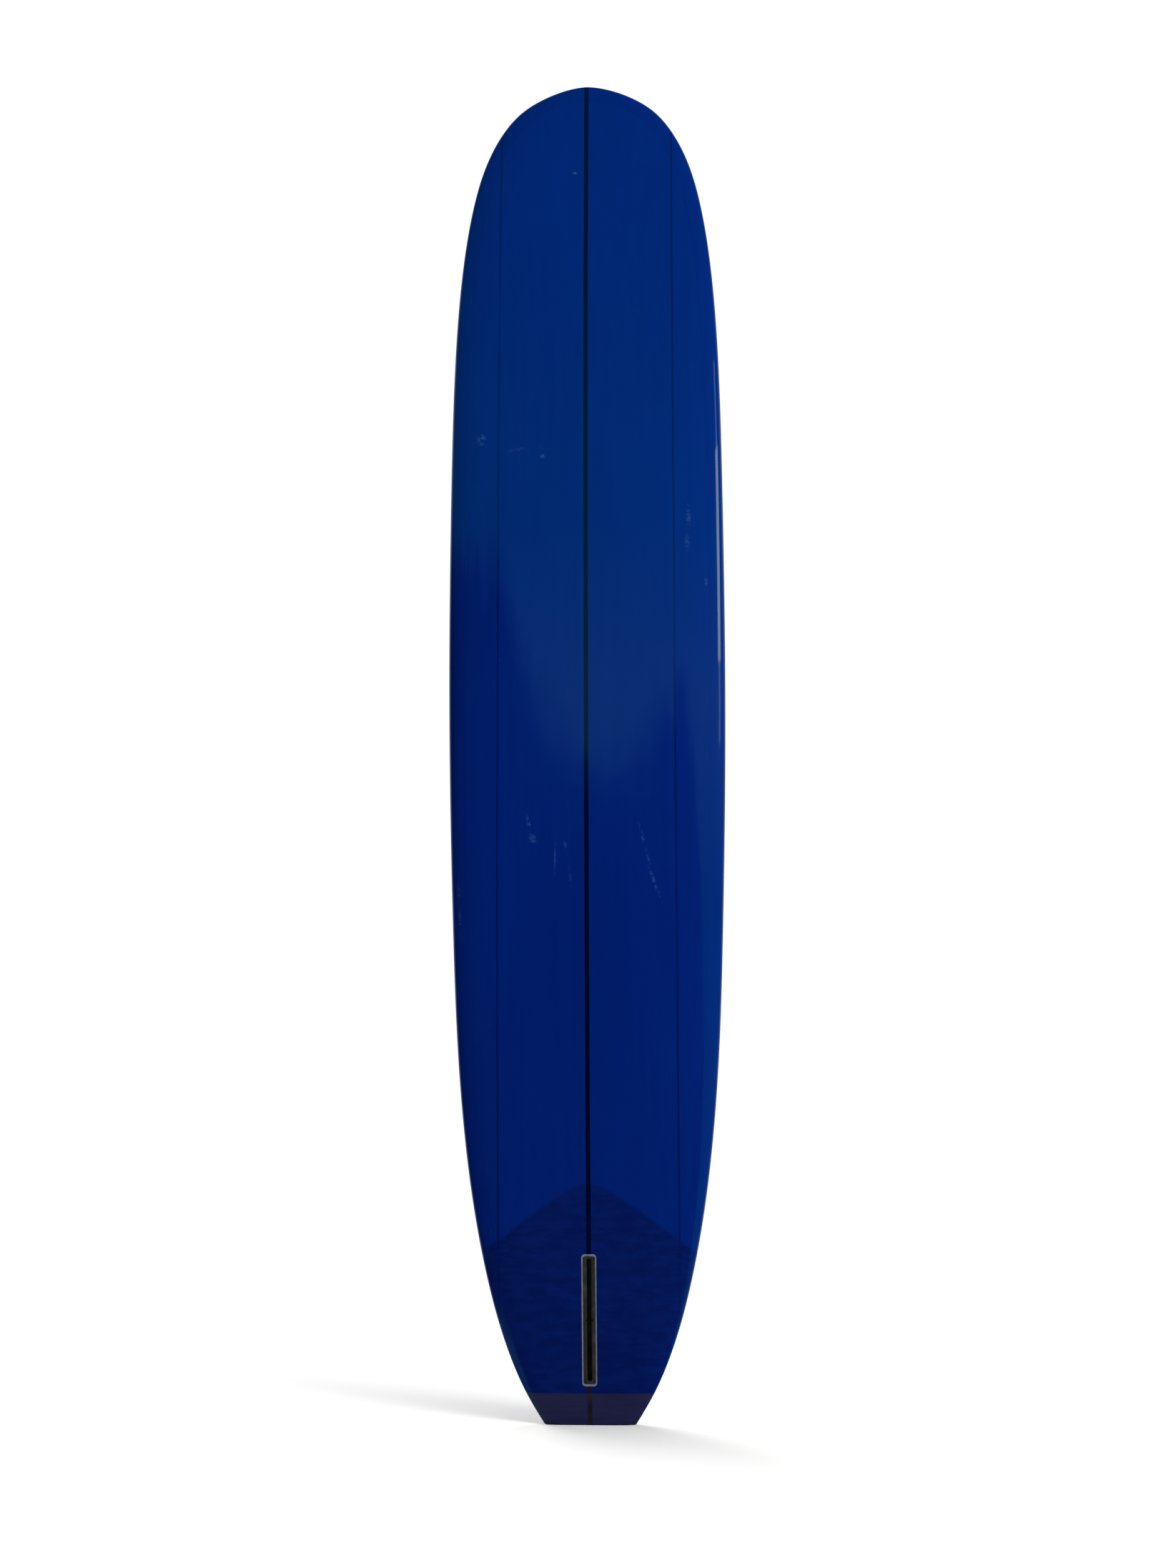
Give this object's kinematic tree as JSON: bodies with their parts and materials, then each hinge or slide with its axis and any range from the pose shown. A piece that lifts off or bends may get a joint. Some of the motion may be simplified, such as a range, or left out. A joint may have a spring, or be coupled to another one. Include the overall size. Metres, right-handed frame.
{
  "type": "surfboard",
  "caption": "Classic longboard surfboard in glossy deep-blue tinted glass, with wooden stringers, a tail block, an empty centre fin box and a leash plug.",
  "frame": {"origin": "middle of the flat end face of the tail block", "axes": "+Z from the tail to the nose, +Y out of the deck, the bottom and its fin box face -Y, +X to the right for someone looking at the bottom"},
  "size_m": [0.5878, 0.1194, 2.896],
  "materials": {
    "foam": "closed-cell foam blank, shaped and sanded",
    "stringer_wood": "dark-stained wood strip, planed flush with the foam",
    "tail_block": "violet-brown wood block under tinted resin, polished",
    "block_strip": "brown wood strip under tinted resin, polished",
    "blue_glass": "deep blue resin tint over glass cloth, polished gloss coat",
    "patch_cloth": "extra glass cloth soaked in darker blue resin, slightly blotchy",
    "box_plastic": "moulded dark grey plastic, sanded flush",
    "clear_resin": "filled clear resin, sanded and polished",
    "plug_plastic": "moulded black plastic",
    "steel_pin": "plain stainless rod"
  },
  "bodies": {
    "root": {"foam_core_left": "foam", "foam_core_right": "foam", "foam_rail_left": "foam", "foam_rail_right": "foam", "centre_stringer": "stringer_wood", "left_stringer": "stringer_wood", "right_stringer": "stringer_wood", "tail_block_left": "tail_block", "tail_block_centre": "block_strip", "tail_block_right": "tail_block", "bottom_laminate": "blue_glass", "deck_laminate": "blue_glass", "fin_patch": "patch_cloth", "fin_box": "box_plastic", "fin_box_resin": "clear_resin", "leash_plug_cup": "plug_plastic", "leash_plug_pin": "steel_pin", "leash_plug_resin": "clear_resin"}
  },
  "joints": []
}
